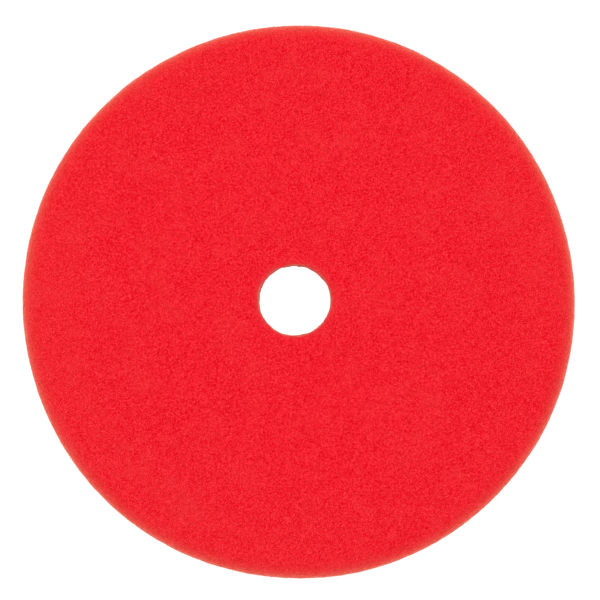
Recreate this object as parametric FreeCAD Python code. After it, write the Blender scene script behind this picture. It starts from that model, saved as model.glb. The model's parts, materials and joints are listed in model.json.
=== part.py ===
import FreeCAD, Part
import math
import os

# Round foam polishing pad: foam disc, adhesive film and loop backing, bonded face to face.
#
# Millimetres. The pad lies on its loop backing with its working face up: Z = 0 is the loop face that
# grips a machine's backing plate, +Z runs along the pad's axis, and the origin is on that axis.

# Driving dimensions
face_radius = 75.0          # widest part of the foam, just under the rim of the working face
total_height = 25.0         # loop face to working face
loop_thickness = 1.8        # knitted ground and loop pile together
film_thickness = 0.3        # hot-melt film between the fabric and the foam
loop_radius = 70.0
film_radius = 69.5
side_taper = 12.0           # degrees by which the side leans in towards the back
rim_round = 5.5             # rounding of the working face's outer rim
back_round = 1.2            # rounding of the foam's back edge
hole_radius = 10.0
mouth_round = 1.6           # rounding where the hole opens into the working face
hole_x = -0.95              # the hole is punched a little off the disc's own centre
hole_y = 0.49

through = 1.0               # how far a cutting cylinder runs past the faces that it cuts
same = 1e-4                 # two lengths closer than this are equal


def at(radius, height):
    """A point of the half section, which is drawn in the XZ plane."""
    return FreeCAD.Vector(radius, 0, height)


def circular_edges(shape, radius, height):
    """The shape's round edges of this radius at this height."""
    found = []
    for edge in shape.Edges:
        if not isinstance(edge.Curve, Part.Circle):
            continue
        same_radius = abs(edge.Curve.Radius - radius) < same
        same_height = abs(edge.Curve.Center.z - height) < same
        if same_radius and same_height:
            found.append(edge)
    return found


def punched(shape):
    """The shape with the centre hole cut straight through it."""
    start = FreeCAD.Vector(hole_x, hole_y, -through)
    punch = Part.makeCylinder(hole_radius, total_height + 2 * through, start)
    return shape.cut(punch)


def flat_layer(radius, bottom, thickness):
    """A flat round layer with the centre hole through it."""
    disc = Part.makeCylinder(radius, thickness, FreeCAD.Vector(0, 0, bottom))
    return punched(disc)


def foam_disc():
    """The foam body: flat working face, rounded rim, and a side that leans in towards the back."""
    bottom = loop_thickness + film_thickness
    lean = math.radians(side_taper)
    half_turn = (math.radians(90) - lean) / 2
    round_radius = face_radius - rim_round
    round_height = total_height - rim_round

    def on_rim(angle):
        """A point on the rim's rounding, by its angle above the horizontal."""
        return at(round_radius + rim_round * math.cos(angle), round_height + rim_round * math.sin(angle))

    side_top = on_rim(-lean)
    back_radius = side_top.x - (side_top.z - bottom) * math.tan(lean)
    outline = Part.Wire([
        Part.LineSegment(at(0, bottom), at(back_radius, bottom)).toShape(),
        Part.LineSegment(at(back_radius, bottom), side_top).toShape(),
        Part.Arc(side_top, on_rim(half_turn), at(round_radius, total_height)).toShape(),
        Part.LineSegment(at(round_radius, total_height), at(0, total_height)).toShape(),
        Part.LineSegment(at(0, total_height), at(0, bottom)).toShape(),
    ])
    body = Part.Face(outline).revolve(FreeCAD.Vector(0, 0, 0), FreeCAD.Vector(0, 0, 1), 360)
    body = body.makeFillet(back_round, circular_edges(body, back_radius, bottom))
    body = punched(body)
    return body.makeFillet(mouth_round, circular_edges(body, hole_radius, total_height))


def adhesive_film():
    """The hot-melt film that bonds the fabric to the foam, kept just inside the fabric's edge."""
    return flat_layer(film_radius, loop_thickness, film_thickness)


def loop_backing():
    """The loop fabric that a hook-faced backing plate holds."""
    return flat_layer(loop_radius, 0, loop_thickness)


pieces = {
    "foam_disc": foam_disc(),
    "adhesive_film": adhesive_film(),
    "loop_backing": loop_backing(),
}

os.makedirs("parts", exist_ok=True)
for name, shape in pieces.items():
    solid = shape.Solids[0]
    print(name, "valid", solid.isValid(), "solids", len(shape.Solids), "cm3", round(solid.Volume / 1000, 2))
    solid.exportStep("parts/" + name + ".step")
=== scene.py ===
import json
import math
import bpy
import numpy as np
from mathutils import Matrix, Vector


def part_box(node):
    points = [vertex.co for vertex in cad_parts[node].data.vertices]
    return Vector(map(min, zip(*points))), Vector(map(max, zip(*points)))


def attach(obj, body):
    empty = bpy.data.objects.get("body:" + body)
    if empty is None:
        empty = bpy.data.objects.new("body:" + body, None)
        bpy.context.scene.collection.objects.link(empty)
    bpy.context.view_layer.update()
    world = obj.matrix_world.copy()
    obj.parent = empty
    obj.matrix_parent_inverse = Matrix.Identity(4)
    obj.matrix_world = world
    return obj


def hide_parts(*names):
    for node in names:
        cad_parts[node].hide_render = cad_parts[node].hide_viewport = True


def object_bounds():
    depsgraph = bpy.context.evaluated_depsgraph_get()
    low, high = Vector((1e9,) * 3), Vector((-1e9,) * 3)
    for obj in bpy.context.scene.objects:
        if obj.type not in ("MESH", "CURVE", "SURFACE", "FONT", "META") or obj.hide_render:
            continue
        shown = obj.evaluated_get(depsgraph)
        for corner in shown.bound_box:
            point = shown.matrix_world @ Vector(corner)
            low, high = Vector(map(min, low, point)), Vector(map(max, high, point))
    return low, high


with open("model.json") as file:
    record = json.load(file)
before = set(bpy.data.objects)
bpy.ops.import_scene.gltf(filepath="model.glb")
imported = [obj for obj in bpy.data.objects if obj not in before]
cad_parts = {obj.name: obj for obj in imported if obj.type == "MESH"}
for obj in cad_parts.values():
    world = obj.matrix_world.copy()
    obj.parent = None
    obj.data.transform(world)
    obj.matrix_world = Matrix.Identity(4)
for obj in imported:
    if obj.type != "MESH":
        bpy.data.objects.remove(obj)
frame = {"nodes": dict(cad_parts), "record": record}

cad_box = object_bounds()

# The loaded nodes come in selected, and an operator would act on them too.
bpy.ops.object.select_all(action="DESELECT")


# ---- Viewpoint ----
# A long lens looks straight down on the working face, from a hair's breadth off the pad's axis. From
# its distance the far end of the hole looks almost as wide as the near end.
millimetre = 0.001
face_height = cad_box[1].z
view_distance = 1.2
view_width = 162.16 * millimetre
view_tip = math.radians(0.5)
view_centre = Vector((0.49 * millimetre, 0.59 * millimetre, face_height))
view_back = Vector((0, -math.sin(view_tip), math.cos(view_tip)))

bpy.ops.object.camera_add(location=view_centre + view_distance * view_back, rotation=(view_tip, 0, 0))
camera = bpy.context.object
camera.data.lens = camera.data.sensor_width * view_distance / view_width
camera.data.dof.use_dof = False
bpy.context.scene.camera = camera
bpy.context.scene.view_settings.view_transform = "Standard"


# ---- Foam disc ----
# One piece of open-cell polyurethane foam, dyed red. It is cut from a sheet, its side and rim are
# ground to shape, and the centre hole is punched. The loop fabric is bonded to its back.
class Value:
    """The output of a node. Arithmetic on it adds Math nodes to its tree."""

    def __init__(self, graph, socket):
        self.graph = graph
        self.socket = socket

    def maths(self, operation, first, second):
        return self.graph.node("ShaderNodeMath", {"operation": operation}, {0: first, 1: second})

    def __add__(self, other):
        return self.maths("ADD", self, other)

    def __radd__(self, other):
        return self.maths("ADD", other, self)

    def __sub__(self, other):
        return self.maths("SUBTRACT", self, other)

    def __rsub__(self, other):
        return self.maths("SUBTRACT", other, self)

    def __mul__(self, other):
        return self.maths("MULTIPLY", self, other)

    def __rmul__(self, other):
        return self.maths("MULTIPLY", other, self)

    def __truediv__(self, other):
        return self.maths("DIVIDE", self, other)

    def __rtruediv__(self, other):
        return self.maths("DIVIDE", other, self)


class Graph:
    """A tree of nodes that is being wired up."""

    def __init__(self, tree):
        self.tree = tree

    def node(self, kind, settings=None, inputs=None, output=0):
        """Adds a node: first its settings or a ramp's stops, then its sockets' values or links."""
        made = self.tree.nodes.new(kind)
        for name, value in (settings or {}).items():
            if name == "stops":
                self.set_stops(made.color_ramp, value)
            else:
                setattr(made, name, value)
        for name, value in (inputs or {}).items():
            if isinstance(value, Value):
                self.tree.links.new(value.socket, made.inputs[name])
            else:
                made.inputs[name].default_value = value
        return Value(self, made.outputs[output]) if len(made.outputs) else None

    def set_stops(self, ramp, stops):
        """Gives a colour ramp these stops, each a place from 0 to 1 and a colour."""
        while len(ramp.elements) < len(stops):
            ramp.elements.new(1.0)
        for element, (place, colour) in zip(ramp.elements, stops):
            element.position = place
            element.color = (*colour, 1)

    def axes(self, vector):
        """The X, Y and Z of a vector."""
        split = self.node("ShaderNodeSeparateXYZ", inputs={"Vector": vector})
        return [Value(self, socket) for socket in split.socket.node.outputs]

    def reach(self, place, centre):
        """How far a point is from the upright line through centre."""
        level = self.node("ShaderNodeVectorMath", {"operation": "MULTIPLY"}, {0: place, 1: (1, 1, 0)})
        settings = {"operation": "DISTANCE"}
        return self.node("ShaderNodeVectorMath", settings, {0: level, 1: (centre.x, centre.y, 0)}, "Value")

    def noise(self, place, size, detail=2.0, roughness=0.5):
        """Smooth noise about 0.5, with features of this size in metres."""
        inputs = {"Vector": place, "Scale": 1 / size, "Detail": detail, "Roughness": roughness}
        return self.node("ShaderNodeTexNoise", {"noise_dimensions": "3D"}, inputs)

    def cells(self, place, size, feature, output):
        """Cells of this size in metres: the distance to their walls, or each one's chance colour."""
        settings = {"voronoi_dimensions": "3D", "feature": feature}
        return self.node("ShaderNodeTexVoronoi", settings, {"Vector": place, "Scale": 1 / size}, output)

    def between(self, value, low, high):
        """0 at low, 1 at high, and an S-curve between them."""
        inputs = {"Value": value, "From Min": low, "From Max": high}
        return self.node("ShaderNodeMapRange", {"interpolation_type": "SMOOTHSTEP"}, inputs)

    def blend(self, factor, first, second):
        """The first colour where factor is 0, the second where it is 1."""
        # A Mix node has several kinds of socket. Its colours are inputs 6 and 7, and output 2.
        inputs = {"Factor": factor, 6: first, 7: second}
        return self.node("ShaderNodeMix", {"data_type": "RGBA"}, inputs, 2)


def new_material(name):
    """A material with an empty tree, the tree's Graph, and a piece's own coordinates in it."""
    material = bpy.data.materials.new(name)
    material.use_nodes = True
    material.node_tree.nodes.clear()
    graph = Graph(material.node_tree)
    return material, graph, graph.node("ShaderNodeTexCoord", output="Object")


def surface(graph, settings):
    """Ends a material's tree with a Principled shader that has these sockets set."""
    shader = graph.node("ShaderNodeBsdfPrincipled", {}, settings)
    graph.node("ShaderNodeOutputMaterial", {}, {"Surface": shader})


def numbers(items, name, width):
    """What a mesh's points, faces or corners hold under this name, one row for each."""
    found = np.empty(len(items) * width, np.float32)
    items.foreach_get(name, found)
    return found.reshape(-1, width)


def select_faces(mesh_object, wanted):
    """In edit mode, selects the faces that wanted picks out of all their centres and normals."""
    bpy.ops.mesh.select_mode(type="FACE")
    bpy.ops.mesh.select_all(action="DESELECT")
    bpy.ops.object.mode_set(mode="OBJECT")
    faces = mesh_object.data.polygons
    faces.foreach_set("select", wanted(numbers(faces, "center", 3), numbers(faces, "normal", 3)))
    bpy.ops.object.mode_set(mode="EDIT")


def select_edges(mesh_object, wanted):
    """In edit mode, selects the edges whose two ends wanted both picks."""
    bpy.ops.mesh.select_mode(type="EDGE")
    bpy.ops.mesh.select_all(action="DESELECT")
    bpy.ops.object.mode_set(mode="OBJECT")
    mesh = mesh_object.data
    for edge in mesh.edges:
        edge.select = all(wanted(mesh.vertices[end].co) for end in edge.vertices)
    bpy.ops.object.mode_set(mode="EDIT")


def apply_modifier(mesh_object, kind, settings):
    """Adds a modifier to the active object and applies it."""
    modifier = mesh_object.modifiers.new(kind.lower(), kind)
    for name, value in settings.items():
        setattr(modifier, name, value)
    bpy.ops.object.modifier_apply(modifier=modifier.name)


def raise_surface(mesh_object, name, rise_at, mark):
    """Moves the active object's points along their normals by what rise_at makes of their places.

    rise_at gives the rise and a second value, which the points keep under the name mark.
    """
    graph = Graph(bpy.data.node_groups.new(name, "GeometryNodeTree"))
    for direction in ("INPUT", "OUTPUT"):
        graph.tree.interface.new_socket("Geometry", in_out=direction, socket_type="NodeSocketGeometry")
    rise, kept = rise_at(graph, graph.node("GeometryNodeInputPosition"))
    push = graph.node("ShaderNodeVectorMath", {"operation": "SCALE"},
                      {0: graph.node("GeometryNodeInputNormal"), "Scale": rise})
    marked = graph.node("GeometryNodeStoreNamedAttribute", {"data_type": "FLOAT", "domain": "POINT"},
                        {"Geometry": graph.node("NodeGroupInput"), "Name": mark, "Value": kept})
    moved = graph.node("GeometryNodeSetPosition", {}, {"Geometry": marked, "Offset": push})
    graph.node("NodeGroupOutput", {}, {"Geometry": moved})
    apply_modifier(mesh_object, "NODES", {"node_group": graph.tree})


centre_hole = next(mount for mount in frame["record"]["mounts"] if mount["name"] == "centre_hole")
hole_centre = Vector((centre_hole["pos_m"][0], centre_hole["pos_m"][1], 0))
hole_radius = centre_hole["dims"]["r_mm"] * millimetre

foam_low, foam_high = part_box("foam_disc")
foam_radius = foam_high.x
foam_height = foam_high.z - foam_low.z
foam_middle = (foam_high.z + foam_low.z) / 2
rim_round = 5.5 * millimetre
side_lean = math.radians(12)
back_round = 1.2 * millimetre
mouth_round = 1.6 * millimetre

# A rounding starts this far from its corner. The rim's corner is sharper than square, because the side
# leans in towards the back, and the back's corner is blunter by as much.
half_corner = math.tan(math.radians(45) + side_lean / 2)
rim_setback = rim_round * half_corner
back_setback = back_round / half_corner
blank_radius = foam_radius - rim_round + rim_setback
back_radius = blank_radius - foam_height * math.tan(side_lean)

bpy.ops.mesh.primitive_cylinder_add(
    vertices=256, radius=blank_radius, depth=foam_height, location=(0, 0, foam_middle))
foam = bpy.context.object
foam.name = "cut_foam"
foam.data.name = "cut_foam"
bpy.ops.object.transform_apply(location=True, rotation=True, scale=True)
bpy.ops.object.mode_set(mode="EDIT")
select_faces(foam, lambda centres, normals: normals[:, 2] < -0.9)
narrowing = back_radius / blank_radius
bpy.ops.transform.resize(value=(narrowing, narrowing, 1))
select_edges(foam, lambda end: end.z > foam_high.z - millimetre)
bpy.ops.mesh.bevel(offset=rim_setback, segments=12, profile=0.5)
select_edges(foam, lambda end: end.z < foam_low.z + 0.1 * millimetre)
bpy.ops.mesh.bevel(offset=back_setback, segments=5, profile=0.5)
bpy.ops.object.mode_set(mode="OBJECT")


def on_mouth(point):
    """Whether a point lies on the edge that the punch leaves in the face."""
    on_face = point.z > foam_high.z - 0.01 * millimetre
    return on_face and (point.xy - hole_centre.xy).length < hole_radius + 0.1 * millimetre


# The punch goes right through, and the foam's mouth round it is left rounded.
bpy.ops.mesh.primitive_cylinder_add(
    vertices=96, radius=hole_radius, depth=2 * foam_height, location=(*hole_centre.xy, foam_middle))
punch = bpy.context.object
bpy.ops.object.select_all(action="DESELECT")
foam.select_set(True)
bpy.context.view_layer.objects.active = foam
apply_modifier(foam, "BOOLEAN", {"operation": "DIFFERENCE", "object": punch, "solver": "EXACT"})
bpy.data.objects.remove(punch)
bpy.ops.object.mode_set(mode="EDIT")
select_edges(foam, on_mouth)
bpy.ops.mesh.bevel(offset=mouth_round, segments=6, profile=0.5)
bpy.ops.object.mode_set(mode="OBJECT")
apply_modifier(foam, "REMESH", {"mode": "VOXEL", "voxel_size": 0.26 * millimetre})


def bonded(centres, normals):
    """The flat of the back, which the film covers, apart from a margin along its edges."""
    margin = 3 * millimetre
    from_axis = np.hypot(centres[:, 0], centres[:, 1])
    from_hole = np.hypot(centres[:, 0] - hole_centre.x, centres[:, 1] - hole_centre.y)
    flat = (normals[:, 2] < -0.9) & (centres[:, 2] < foam_low.z + 0.2 * millimetre)
    return flat & (from_axis < back_radius - margin) & (from_hole > hole_radius + margin)


# The bonded back never shows, so its fine mesh gives way to a few large faces.
bpy.ops.object.mode_set(mode="EDIT")
select_faces(foam, bonded)
bpy.ops.mesh.delete(type="FACE")
bpy.ops.mesh.select_mode(type="EDGE")
bpy.ops.mesh.select_non_manifold()
bpy.ops.mesh.fill()
bpy.ops.object.mode_set(mode="OBJECT")


def cut_foam(graph, place):
    """The rise of cut foam, and how far a cell is open there.

    Each cell that the knife opened is a small pit. No cut surface is quite true. The wall of the
    hole swells inwards, more to the front and back than to the sides. The bonded back stays flat.
    """
    cell_size = 0.8 * millimetre
    pit_depth = 0.16 * millimetre
    inside_cell = graph.between(graph.cells(place, cell_size, "DISTANCE_TO_EDGE", "Distance"), 0.0, 0.3)
    opened = inside_cell * (0.5 + graph.cells(place, cell_size, "F1", "Color"))
    slow = (graph.noise(place, 60 * millimetre, detail=0.0) - 0.5) * millimetre
    waves = (graph.noise(place, 14 * millimetre) - 0.5) * 0.2 * millimetre
    fray = (graph.noise(place, 3 * millimetre) - 0.5) * 0.28 * millimetre

    across, along, height = graph.axes(place)
    from_hole = graph.reach(place, hole_centre)
    punched = 1 - graph.between(from_hole, hole_radius + 0.2 * millimetre, hole_radius + millimetre)
    aside = (across - hole_centre.x) / from_hole
    ahead = (along - hole_centre.y) / from_hole
    oval = (ahead * ahead - aside * aside) * 0.1 * millimetre
    swelling = 0.34 * millimetre + oval + fray * 3

    rise = slow + waves + fray + swelling * punched - opened * pit_depth
    loose = graph.between(height, foam_low.z + 0.1 * millimetre, foam_low.z + 1.5 * millimetre)
    return rise * loose, opened


raise_surface(foam, "cut_foam", cut_foam, "opened")
bpy.ops.object.shade_smooth()


def lay_out(mesh_object, flat_places):
    """Gives a piece its own UV map, which flat_places works out for the corners of its faces.

    It is given each corner's place and the centre of the corner's face.
    """
    mesh = mesh_object.data
    layer = mesh.uv_layers.new(name="OFBake")
    corner_points = np.empty(len(mesh.loops), np.int32)
    mesh.loops.foreach_get("vertex_index", corner_points)
    corners = np.empty(len(mesh.polygons), np.int32)
    mesh.polygons.foreach_get("loop_total", corners)
    centres = np.repeat(numbers(mesh.polygons, "center", 3), corners, axis=0)
    flat = flat_places(numbers(mesh.vertices, "co", 3)[corner_points], centres)
    layer.uv.foreach_set("vector", np.ascontiguousarray(flat, np.float32).ravel())


def unrolled(places, centres, axis):
    """The turn round an upright axis, from 0 to 1, and the depth below the face, also from 0 to 1.

    A corner's turn is its face's turn and a small step more, so no face is torn where the turn starts.
    """
    towards = centres[:, :2] - axis
    turn = np.arctan2(towards[:, 1], towards[:, 0])
    offset = places[:, :2] - axis
    outwards = offset[:, 0] * np.cos(turn) + offset[:, 1] * np.sin(turn)
    sideways = offset[:, 1] * np.cos(turn) - offset[:, 0] * np.sin(turn)
    step = np.arctan2(sideways, outwards)
    margin = 0.002
    share = margin + (1 - 2 * margin) * ((turn + step) / (2 * math.pi) + 0.5)
    return np.stack([share, (foam_high.z - places[:, 2]) / foam_height], axis=1)


def foam_patches(places, centres):
    """The face lies flat in the map's lower corner, and the back, which hardly shows, small beside it.

    The side unrolls into a strip above the face, and the hole's wall into a short one above that.
    """
    plan = places[:, :2] / (2 * foam_radius)
    face = plan * 0.73 + (0.37, 0.37)
    back = plan * 0.22 + (0.87, 0.37)
    side = unrolled(places, centres, np.zeros(2)) * (1, 0.1) + (0, 0.76)
    wall = unrolled(places, centres, np.array(hole_centre.xy)) * (0.31, 0.11) + (0, 0.88)

    depth = foam_high.z - centres[:, 2]
    from_hole = np.hypot(centres[:, 0] - hole_centre.x, centres[:, 1] - hole_centre.y)
    from_axis = np.hypot(centres[:, 0], centres[:, 1])
    on_side = (from_axis > back_radius - back_round) & (depth > 0.3 * rim_round)
    on_wall = (from_hole < hole_radius + mouth_round) & (depth > 0.3 * mouth_round)
    on_back = (centres[:, 2] < foam_low.z + 0.3 * back_round) & ~on_wall
    flat = np.where(on_side[:, None], side, face)
    flat = np.where(on_wall[:, None], wall, flat)
    return np.where(on_back[:, None], back, flat)


lay_out(foam, foam_patches)

foam_red, graph, place = new_material("red_foam")
opened = graph.node("ShaderNodeAttribute", {"attribute_name": "opened"}, output="Fac")
struts = graph.cells(place, 0.13 * millimetre, "F1", "Color")
grain = graph.noise(place, 0.3 * millimetre, detail=1.0)
mottle = graph.noise(place, 10 * millimetre, detail=4.0, roughness=0.8)
# The cells' colour changes at random. The open pits are painted darker, a painted shade, and the pale end
# of the ramp below paints glints on the cell walls.
light = 0.5 + (struts - 0.5) * 2.4 + (grain - 0.5) * 0.2 - (opened - 0.5) * 0.4

# The rim and the side are painted paler than the cut face, a painted sheen on the rim's rounding that adds
# to the shader's own sheen.
# The painted sheen is weaker low on the side. A little painted highlight is laid round the hole's mouth as
# well.
depth = face_height - graph.axes(place)[2]
painted_rim_sheen = graph.between(depth, -0.4 * millimetre, 4.8 * millimetre)
painted_rim_sheen = painted_rim_sheen * graph.between(graph.reach(place, Vector()), 55 * millimetre, 65 * millimetre)
painted_rim_sheen = painted_rim_sheen * (1 - 0.4 * graph.between(depth, 6 * millimetre, 14 * millimetre))
# The painted highlight on the rounding of the hole's mouth, fading down the wall and away from the hole.
painted_mouth_highlight = graph.between(depth, 0.0, 0.9 * millimetre)
painted_mouth_highlight = painted_mouth_highlight * (1 - 0.8 * graph.between(depth, 1.5 * millimetre, 5 * millimetre))
mouth_edge = hole_radius + mouth_round
from_hole = graph.reach(place, hole_centre)
past_mouth = graph.between(from_hole, mouth_edge - 0.3 * millimetre, mouth_edge + millimetre)
painted_mouth_highlight = painted_mouth_highlight * (1 - past_mouth)

# The ramp's pale top stop is a painted glint.
colour = graph.node("ShaderNodeValToRGB", {"stops": [
    (0.0, (0.61, 0.0, 0.004)),
    (0.75, (0.79, 0.0, 0.018)),
    (1.0, (0.85, 0.039, 0.052)),
]}, {"Fac": light})
colour = graph.blend(mottle - 0.5, colour, (0.73, 0.047, 0.051, 1))
# Painted sheen: the rim and the side are blended towards a paler orange red.
colour = graph.blend(painted_rim_sheen * 0.32, colour, (0.83, 0.22, 0.142, 1))
# Painted highlight: the hole's mouth is blended towards a paler pink red.
colour = graph.blend(painted_mouth_highlight * 0.2, colour, (0.88, 0.165, 0.165, 1))
bump = graph.node("ShaderNodeBump", {}, {"Strength": 0.5, "Distance": 0.15 * millimetre, "Height": grain})
surface(graph, {
    "Base Color": colour,
    "Roughness": 0.95,
    "Specular IOR Level": 0.0,
    "Sheen Weight": 0.8,
    "Sheen Roughness": 0.4,
    "Sheen Tint": (1.0, 0.63, 0.41, 1),
    "Normal": bump,
})
foam.data.materials.clear()
foam.data.materials.append(foam_red)

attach(foam, "root")
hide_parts("foam_disc")


# ---- Adhesive film ----
# A sheet of hot-melt adhesive, a little smaller than the loop fabric, that joins it to the foam. Only
# its cut edge shows, honey-coloured and half glossy.
hot_melt, graph, place = new_material("hot_melt_film")
clouds = graph.noise(place, 3 * millimetre, detail=3.0)
surface(graph, {
    "Base Color": graph.blend(clouds, (0.62, 0.52, 0.34, 1), (0.82, 0.76, 0.6, 1)),
    "Roughness": 0.3 + clouds * 0.3,
})
for slot in frame["nodes"]["adhesive_film"].material_slots:
    slot.material = hot_melt


# ---- Loop backing ----
# A warp-knitted nylon cloth with a pile of uncut loops, which the hooks of a backing plate catch. The
# ground cloth lies against the film, and the loops hang from it. Pile yarn runs in every wale.
cloth_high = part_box("loop_backing")[1]
cloth_radius = cloth_high.x
cloth_thickness = 0.6 * millimetre
cloth_underside = cloth_high.z - cloth_thickness
wale_pitch = 1.2 * millimetre
cloth_band = cloth_radius - hole_radius

bpy.ops.object.select_all(action="DESELECT")
bpy.ops.mesh.primitive_plane_add(size=1, rotation=(math.radians(90), 0, 0))
cloth = bpy.context.object
cloth.name = "loop_cloth"
cloth.data.name = "loop_cloth"
cloth.scale = (cloth_band, cloth_thickness, 1)
cloth.location = (hole_radius + cloth_band / 2, 0, cloth_high.z - cloth_thickness / 2)
bpy.ops.object.transform_apply(location=True, rotation=True, scale=True)
bpy.ops.object.mode_set(mode="EDIT")
select_edges(cloth, lambda end: end.z < cloth_underside + 0.1 * millimetre)
bpy.ops.mesh.subdivide(number_cuts=130)

# The outline of the cut through the cloth is spun once round the axis.
bpy.ops.mesh.select_all(action="SELECT")
bpy.ops.mesh.delete(type="ONLY_FACE")
bpy.ops.mesh.select_all(action="SELECT")
bpy.ops.mesh.spin(steps=512, angle=2 * math.pi, center=(0, 0, 0), axis=(0, 0, 1))
bpy.ops.mesh.select_all(action="SELECT")
bpy.ops.mesh.remove_doubles(threshold=0.001 * millimetre)
bpy.ops.mesh.normals_make_consistent(inside=False)
bpy.ops.object.mode_set(mode="OBJECT")

# The hole is a little off the disc's centre, so the rings of points slide over towards it.
for vertex in cloth.data.vertices:
    share = (cloth_radius - vertex.co.xy.length) / cloth_band
    vertex.co.xy += hole_centre.xy * share


def knitted_ground(graph, place):
    """The rise of a knitted ground, whose wales run along Y as ribs, and how far it is a furrow."""
    across, along, _ = graph.axes(place)
    wave = {"operation": "SINE"}
    rib = graph.node("ShaderNodeMath", wave, {0: across * (2 * math.pi / wale_pitch)})
    stitch = graph.node("ShaderNodeMath", wave, {0: along * (2 * math.pi / wale_pitch)})
    uneven = (graph.noise(place, 2 * millimetre) - 0.5) * 0.08 * millimetre
    rise = rib * 0.06 * millimetre + stitch * 0.03 * millimetre + uneven
    return rise, 0.5 - rib * 0.5


raise_surface(cloth, "knitted_ground", knitted_ground, "furrow")

# Only the cloth's cut edges stay sharp.
bpy.ops.object.shade_smooth_by_angle(angle=math.radians(50))

# One loop of pile yarn: half a ring with two legs, which is copied all over the cloth.
loop_width = 0.95 * millimetre
yarn_radius = 0.13 * millimetre
bpy.ops.object.select_all(action="DESELECT")
bpy.ops.mesh.primitive_torus_add(
    major_segments=8, minor_segments=3, major_radius=loop_width / 2, minor_radius=yarn_radius,
    rotation=(math.radians(90), 0, 0))
one_loop = bpy.context.object
bpy.ops.object.transform_apply(location=True, rotation=True, scale=True)
bpy.ops.object.mode_set(mode="EDIT")
bpy.ops.mesh.select_all(action="SELECT")
bpy.ops.mesh.bisect(plane_co=(0, 0, 0), plane_no=(0, 0, 1), clear_outer=True)
select_edges(one_loop, lambda end: abs(end.z) < 0.001 * millimetre)
bpy.ops.mesh.extrude_region_move(TRANSFORM_OT_translate={"value": (0, 0, loop_width)})
bpy.ops.mesh.fill()
bpy.ops.object.mode_set(mode="OBJECT")
loop_points = numbers(one_loop.data.vertices, "co", 3)
loop_faces = [tuple(face.vertices) for face in one_loop.data.polygons]
bpy.data.objects.remove(one_loop)

# How far down the loop each of its points is: 0 at the root and 1 at the tip.
loop_height = loop_points[:, 2] - loop_points[:, 2].min()
loop_drop = 1 - loop_height / loop_height.max()

# Every stitch of a wale roots one loop. Each stands a little crooked, and the lay of the pile leans
# them all to one side.
chance = np.random.default_rng(7)
wales = int(cloth_radius / wale_pitch)
wale, course = np.meshgrid(np.arange(-wales, wales + 1), np.arange(-wales, wales + 1), indexing="ij")
wale, course = wale.ravel(), course.ravel()
spots = np.stack([wale, course + 0.5 * (wale % 2)], axis=1) * wale_pitch
spots = spots + chance.normal(0, 0.14 * millimetre, spots.shape)
from_rim = cloth_radius - np.hypot(spots[:, 0], spots[:, 1])
from_punch = np.hypot(spots[:, 0] - hole_centre.x, spots[:, 1] - hole_centre.y) - hole_radius
inside = (from_rim > 0.5 * millimetre) & (from_punch > 0.6 * millimetre)
root_height = cloth_underside + 0.25 * millimetre


def hang_loops(name, roots):
    """A piece with one loop of yarn hanging from each root, down to about the height 0."""
    count = len(roots)
    turn = math.radians(90) + chance.normal(0, math.radians(28), (count, 1))
    wide = chance.uniform(0.8, 1.2, (count, 1))
    tip = chance.uniform(0, 0.3, (count, 1)) ** 1.5 * millimetre
    lean = chance.normal(0, 0.3 * millimetre, (count, 2)) + (0, 0.35 * millimetre)
    along, across = loop_points[:, 0] * wide, loop_points[:, 1]
    points = np.stack([
        roots[:, :1] + along * np.cos(turn) - across * np.sin(turn) + lean[:, :1] * loop_drop,
        roots[:, 1:] + along * np.sin(turn) + across * np.cos(turn) + lean[:, 1:] * loop_drop,
        root_height - (root_height - tip) * loop_drop,
    ], axis=2)
    starts = range(0, count * len(loop_points), len(loop_points))
    faces = [tuple(start + corner for corner in face) for start in starts for face in loop_faces]
    mesh = bpy.data.meshes.new(name)
    mesh.from_pydata(points.reshape(-1, 3), [], faces)
    mesh.shade_smooth()
    piece = bpy.data.objects.new(name, mesh)
    bpy.context.scene.collection.objects.link(piece)
    return piece


piles = [
    hang_loops("pile_even_wales", spots[inside & (wale % 2 == 0)]),
    hang_loops("pile_odd_wales", spots[inside & (wale % 2 == 1)]),
]

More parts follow.
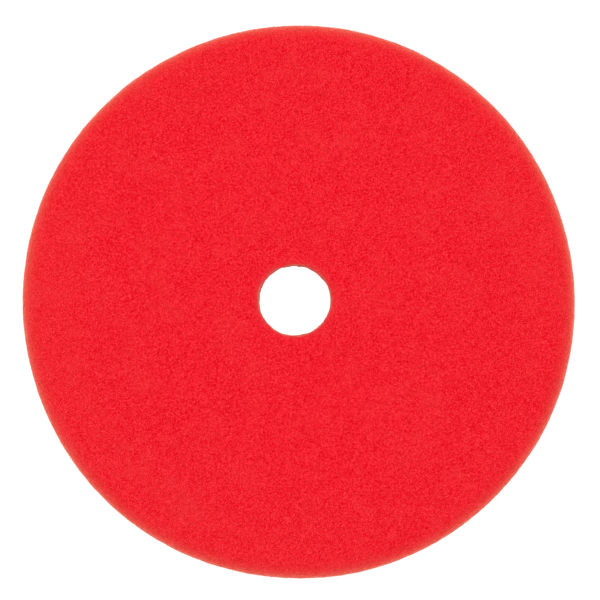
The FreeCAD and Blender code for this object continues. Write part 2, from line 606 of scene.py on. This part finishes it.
nylon, graph, place = new_material("loop_nylon")
furrow = graph.node("ShaderNodeAttribute", {"attribute_name": "furrow"}, output="Fac")
# The cloth's colour changes at random, and is painted darker in the knit's furrows, a painted shade.
tone_and_furrow_shade = graph.noise(place, 1.3 * millimetre) * (1 - 0.4 * furrow)
fibre = graph.noise(place, 0.12 * millimetre, detail=1.0)
bump = graph.node("ShaderNodeBump", {}, {"Strength": 0.4, "Distance": 0.05 * millimetre, "Height": fibre})
surface(graph, {
    "Base Color": graph.blend(tone_and_furrow_shade, (0.56, 0.56, 0.54, 1), (0.76, 0.76, 0.74, 1)),
    "Roughness": 0.5 + fibre * 0.3,
    "Sheen Weight": 0.3,
    "Normal": bump,
})


def seen_from_below(places, _):
    """Every corner where it lies in plan, on the cloth's upper side as well as the lower."""
    return 0.5 + places[:, :2] / (2.1 * cloth_radius)


for piece in (cloth, *piles):
    lay_out(piece, seen_from_below)
    piece.data.materials.append(nylon)
    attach(piece, "root")
    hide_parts("loop_backing")
cloth_area = math.pi * (cloth_radius ** 2 - hole_radius ** 2)


# ---- Studio ----
# The pad lies on a pale table, lit from below, under an even white sky with one large soft lamp. The
# table's glow is dimmed under the pad and just past its edge, a painted shadow, and raised to full white
# in and round the hole, a painted light.
bpy.ops.object.select_all(action="DESELECT")
bpy.ops.mesh.primitive_plane_add(size=14, location=(0, 0, 0))
floor = bpy.context.object
floor.name = "studio_floor"
pale, graph, place = new_material("pale_floor")
from_axis = graph.reach(place, Vector())
from_hole = graph.reach(place, hole_centre)
# Painted shadow: the table glows less under the pad and just beyond its edge.
painted_shadow_under_pad = 1 - graph.between(from_axis, cloth_radius - millimetre, foam_radius + millimetre)
# Painted light: the table glows full white in and round the hole.
painted_light_in_hole = 1 - graph.between(from_hole, hole_radius + 2 * millimetre, hole_radius + 6 * millimetre)
glow = graph.blend(painted_shadow_under_pad, (0.85, 0.85, 0.85, 1), (0.55, 0.55, 0.55, 1))
surface(graph, {
    "Base Color": (0.25, 0.25, 0.25, 1),
    "Roughness": 0.9,
    "Specular IOR Level": 0.0,
    "Emission Color": graph.blend(painted_light_in_hole, glow, (1, 1, 1, 1)),
    "Emission Strength": 1.0,
})
floor.data.materials.append(pale)

world = bpy.data.worlds.new("studio")
world.use_nodes = True
sky = world.node_tree.nodes["Background"]
sky.inputs["Color"].default_value = (1, 1, 1, 1)
sky.inputs["Strength"].default_value = 1.0
bpy.context.scene.world = world

bpy.ops.object.light_add(type="AREA", location=(-0.05, 0.45, 1.45))
lamp = bpy.context.object
lamp.data.shape = "DISK"
lamp.data.size = 1.2
lamp.data.energy = 6.2
lamp.rotation_euler = (-lamp.location).to_track_quat("-Z", "Y").to_euler()
